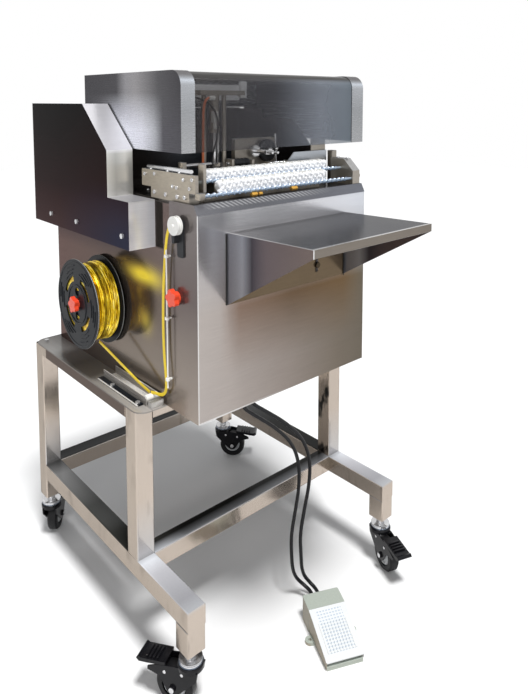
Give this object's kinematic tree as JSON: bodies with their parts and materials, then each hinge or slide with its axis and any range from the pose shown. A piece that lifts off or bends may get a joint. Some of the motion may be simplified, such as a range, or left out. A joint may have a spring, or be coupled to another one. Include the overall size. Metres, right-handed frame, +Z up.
{
  "type": "bag tying machine",
  "caption": "Stainless bag neck tying machine with a hinged smoky hood, feed belts, tie reel, tray and foot pedal on a castered stand",
  "frame": {"origin": "middle of the overall box on the floor, without the hoses", "axes": "+Z up, +X to the machine's right as its user faces it, +Y towards its back"},
  "size_m": [0.7142, 0.9136, 1.176],
  "materials": {
    "stainless": "fine brushed stainless sheet and tube",
    "black_plastic": "black moulded plastic",
    "smoky_acrylic": "smoky clear acrylic",
    "red_plastic": "red star grip",
    "white_plastic": "white plastic",
    "gold_tie": "gold coated tie ribbon",
    "aluminium": "machined aluminium",
    "chrome": "bright plated steel",
    "rubber": "black hose",
    "spring_steel": "bluish spring steel",
    "pedal_grey": "grey green painted casting",
    "tread": "pale ribbed tread",
    "dark_steel": "blackened steel",
    "wheel_tread": "black polyurethane wheel"
  },
  "bodies": {
    "frame": {"bag_tray": "stainless", "belt_carriers": "aluminium", "cabinet_body": "stainless", "caster_stems": "chrome", "cover_screws": "chrome", "cross_rails": "stainless", "drive_cover": "stainless", "feed_end_plates": "aluminium", "feed_springs": "spring_steel", "front_cover": "stainless", "guide_plate": "stainless", "hood_hinges": "stainless", "hose_glands": "black_plastic", "hose_left": "rubber", "hose_right": "rubber", "lug_belts": "white_plastic", "mechanism_deck": "stainless", "pedal_base": "pedal_grey", "press_bridge": "aluminium", "press_cylinder": "aluminium", "pulley_bracket": "dark_steel", "rear_cover": "stainless", "rear_panel": "stainless", "reel_spindle": "chrome", "side_rails": "stainless", "stand_legs": "stainless", "table_plate": "stainless", "tape_channel": "stainless", "tape_guides": "white_plastic", "twister_plate": "aluminium"},
    "hood": {"hood_left_cap": "stainless", "hood_right_cap": "stainless", "hood_shell": "smoky_acrylic", "hood_back_rail": "stainless"},
    "reel": {"tie_reel": "black_plastic", "tie_winding": "gold_tie", "reel_knob": "red_plastic"},
    "cover_knob": {"cover_knob": "red_plastic"},
    "channel_roller": {"channel_roller": "white_plastic"},
    "tape_pulley": {"tape_pulley": "white_plastic"},
    "press_rod": {"press_rod": "chrome"},
    "twister_spindle": {"twister_spindle": "chrome"},
    "twister_gear": {"twister_gear": "dark_steel"},
    "pedal_treadle": {"pedal_treadle": "tread"},
    "front_sprocket_left": {"front_sprocket_left": "aluminium"},
    "front_sprocket_right": {"front_sprocket_right": "aluminium"},
    "rear_sprocket_left": {"rear_sprocket_left": "aluminium"},
    "rear_sprocket_right": {"rear_sprocket_right": "aluminium"},
    "fork_front_left": {"caster_fork_front_left": "dark_steel"},
    "wheel_front_left": {"caster_wheel_front_left": "wheel_tread"},
    "brake_front_left": {"caster_brake_front_left": "black_plastic"},
    "fork_front_right": {"caster_fork_front_right": "dark_steel"},
    "wheel_front_right": {"caster_wheel_front_right": "wheel_tread"},
    "brake_front_right": {"caster_brake_front_right": "black_plastic"},
    "fork_rear_left": {"caster_fork_rear_left": "dark_steel"},
    "wheel_rear_left": {"caster_wheel_rear_left": "wheel_tread"},
    "brake_rear_left": {"caster_brake_rear_left": "black_plastic"},
    "fork_rear_right": {"caster_fork_rear_right": "dark_steel"},
    "wheel_rear_right": {"caster_wheel_rear_right": "wheel_tread"},
    "brake_rear_right": {"caster_brake_rear_right": "black_plastic"}
  },
  "joints": [
    {"name": "hood_hinge", "type": "hinge", "parent": "frame", "child": "hood", "pos_m": [-0.01097, 0.2147, 1.104], "axis": [-1, 0, 0], "range_deg": [0, 70]},
    {"name": "reel_spin", "type": "hinge", "parent": "frame", "child": "reel", "pos_m": [-0.29097, 0.1233, 0.6758], "axis": [-1, 0, 0], "continuous": true},
    {"name": "cover_knob_turn", "type": "hinge", "parent": "frame", "child": "cover_knob", "pos_m": [-0.25897, -0.1657, 0.745], "axis": [-1, 0, 0], "continuous": true},
    {"name": "channel_roller_spin", "type": "hinge", "parent": "frame", "child": "channel_roller", "pos_m": [-0.26897, -0.0943, 0.528], "axis": [-1, 0, 0], "continuous": true},
    {"name": "tape_pulley_spin", "type": "hinge", "parent": "frame", "child": "tape_pulley", "pos_m": [-0.26297, -0.1793, 0.887], "axis": [-1, 0, 0], "continuous": true},
    {"name": "press_slide", "type": "slide", "parent": "frame", "child": "press_rod", "axis": [0, 0, -1], "range_m": [0, 0.03]},
    {"name": "twister_gear_spin", "type": "hinge", "parent": "frame", "child": "twister_gear", "pos_m": [0.05138, -0.0783, 1.006], "axis": [0, -1, 0], "continuous": true},
    {"name": "twister_spin", "type": "hinge", "parent": "frame", "child": "twister_spindle", "pos_m": [0.01503, -0.0783, 1.006], "axis": [0, -1, 0], "continuous": true},
    {"name": "front_sprocket_left_spin", "type": "hinge", "parent": "frame", "child": "front_sprocket_left", "pos_m": [-0.16897, -0.1993, 0.955], "axis": [0, -1, 0], "continuous": true},
    {"name": "front_sprocket_right_spin", "type": "hinge", "parent": "frame", "child": "front_sprocket_right", "pos_m": [0.10703, -0.1993, 0.955], "axis": [0, -1, 0], "continuous": true},
    {"name": "rear_sprocket_left_spin", "type": "hinge", "parent": "frame", "child": "rear_sprocket_left", "pos_m": [-0.17597, -0.1653, 0.973], "axis": [0, -1, 0], "continuous": true},
    {"name": "rear_sprocket_right_spin", "type": "hinge", "parent": "frame", "child": "rear_sprocket_right", "pos_m": [0.14403, -0.1653, 0.973], "axis": [0, -1, 0], "continuous": true},
    {"name": "pedal_press", "type": "hinge", "parent": "frame", "child": "pedal_treadle", "pos_m": [0.02008, -0.31417, 0.036], "axis": [0.9063, -0.4226, 0], "range_deg": [0, 4], "stiffness_Nm_per_rad": 4, "springref_deg": -4.58},
    {"name": "swivel_front_left", "type": "hinge", "parent": "frame", "child": "fork_front_left", "pos_m": [-0.29097, -0.2563, 0.089], "axis": [0, 0, 1], "continuous": true},
    {"name": "roll_front_left", "type": "hinge", "parent": "fork_front_left", "child": "wheel_front_left", "pos_m": [-0.30505, -0.22981, 0.0375], "axis": [-0.8829, -0.4695, 0], "continuous": true},
    {"name": "brake_press_front_left", "type": "hinge", "parent": "fork_front_left", "child": "brake_front_left", "pos_m": [-0.3182, -0.20508, 0.072], "axis": [-0.8829, -0.4695, 0], "range_deg": [0, 8]},
    {"name": "swivel_front_right", "type": "hinge", "parent": "frame", "child": "fork_front_right", "pos_m": [0.26903, -0.2563, 0.089], "axis": [0, 0, 1], "continuous": true},
    {"name": "roll_front_right", "type": "hinge", "parent": "fork_front_right", "child": "wheel_front_right", "pos_m": [0.25877, -0.28449, 0.0375], "axis": [0.9397, -0.342, 0], "continuous": true},
    {"name": "brake_press_front_right", "type": "hinge", "parent": "fork_front_right", "child": "brake_front_right", "pos_m": [0.24919, -0.3108, 0.072], "axis": [0.9397, -0.342, 0], "range_deg": [0, 8]},
    {"name": "swivel_rear_left", "type": "hinge", "parent": "frame", "child": "fork_rear_left", "pos_m": [-0.29097, 0.3637, 0.089], "axis": [0, 0, 1], "continuous": true},
    {"name": "roll_rear_left", "type": "hinge", "parent": "fork_rear_left", "child": "wheel_rear_left", "pos_m": [-0.27168, 0.38669, 0.0375], "axis": [-0.766, 0.6428, 0], "continuous": true},
    {"name": "brake_press_rear_left", "type": "hinge", "parent": "fork_rear_left", "child": "brake_rear_left", "pos_m": [-0.25369, 0.40814, 0.072], "axis": [-0.766, 0.6428, 0], "range_deg": [0, 8]},
    {"name": "swivel_rear_right", "type": "hinge", "parent": "frame", "child": "fork_rear_right", "pos_m": [0.26903, 0.3637, 0.089], "axis": [0, 0, 1], "continuous": true},
    {"name": "roll_rear_right", "type": "hinge", "parent": "fork_rear_right", "child": "wheel_rear_right", "pos_m": [0.29024, 0.34249, 0.0375], "axis": [0.7071, 0.7071, 0], "continuous": true},
    {"name": "brake_press_rear_right", "type": "hinge", "parent": "fork_rear_right", "child": "brake_rear_right", "pos_m": [0.31004, 0.32269, 0.072], "axis": [0.7071, 0.7071, 0], "range_deg": [0, 8]}
  ],
  "couplings": [
    {"joint": "twister_spin", "follows": "twister_gear_spin", "ratio": -2},
    {"joint": "front_sprocket_right_spin", "follows": "front_sprocket_left_spin", "ratio": 1},
    {"joint": "rear_sprocket_left_spin", "follows": "front_sprocket_left_spin", "ratio": 1},
    {"joint": "rear_sprocket_right_spin", "follows": "front_sprocket_left_spin", "ratio": 1}
  ]
}
